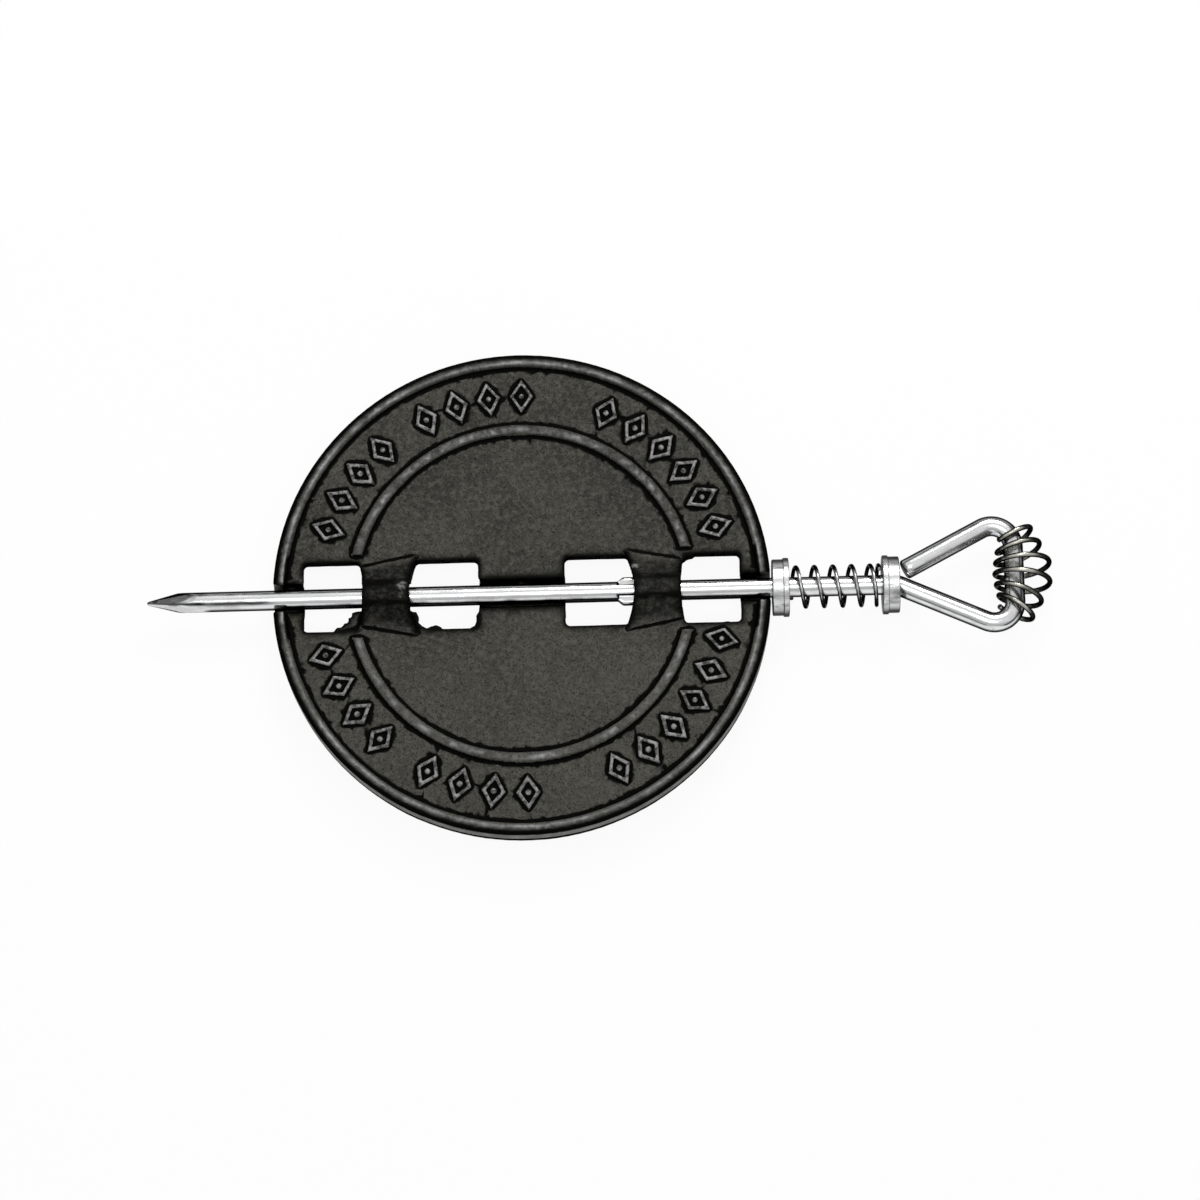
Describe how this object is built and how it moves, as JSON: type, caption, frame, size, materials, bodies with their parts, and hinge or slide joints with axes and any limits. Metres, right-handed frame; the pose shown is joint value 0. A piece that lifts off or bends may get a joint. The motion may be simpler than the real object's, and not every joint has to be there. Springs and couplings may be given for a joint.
{
  "type": "stovepipe damper",
  "caption": "Round cast iron stovepipe damper plate woven on a pointed steel spindle with a sprung pipe washer and a triangular handle with a wire grip.",
  "frame": {"origin": "the plate's centre on the spindle's axis, which is the centre of the pipe it fits", "axes": "+X along the spindle towards the handle, +Z out of the plate's front face, +Y across the plate"},
  "size_m": [0.2692, 0.148, 0.0182],
  "materials": {
    "cast_iron": "as-cast grey iron, lightly oiled, fine sand texture",
    "zinc_steel": "bright zinc-plated steel rod, drawn along its length",
    "washer_steel": "zinc-plated turned steel",
    "spring_steel": "zinc-plated spring wire",
    "grip_steel": "zinc-plated wire, a little dulled by handling"
  },
  "bodies": {
    "pipe_side": {"pipe_washer": "washer_steel"},
    "spring_side": {"spring": "spring_steel"},
    "plate_side": {"damper_plate": "cast_iron"},
    "spindle_side": {"spindle": "zinc_steel", "handle_washer": "washer_steel", "grip_coil": "grip_steel"}
  },
  "joints": [
    {"name": "damper_turn", "type": "hinge", "parent": "pipe_side", "child": "spring_side", "pos_m": [0.0743, 0, 0], "axis": [1, 0, 0], "continuous": true},
    {"name": "wall_gap", "type": "slide", "parent": "spring_side", "child": "plate_side", "axis": [-1, 0, 0], "range_m": [0, 0.003], "stiffness_N_per_m": 4700, "deforming": ["spring"]},
    {"name": "spindle_push", "type": "slide", "parent": "plate_side", "child": "spindle_side", "axis": [-1, 0, 0], "range_m": [0, 0.012], "stiffness_N_per_m": 4700, "deforming": ["spring"]}
  ]
}
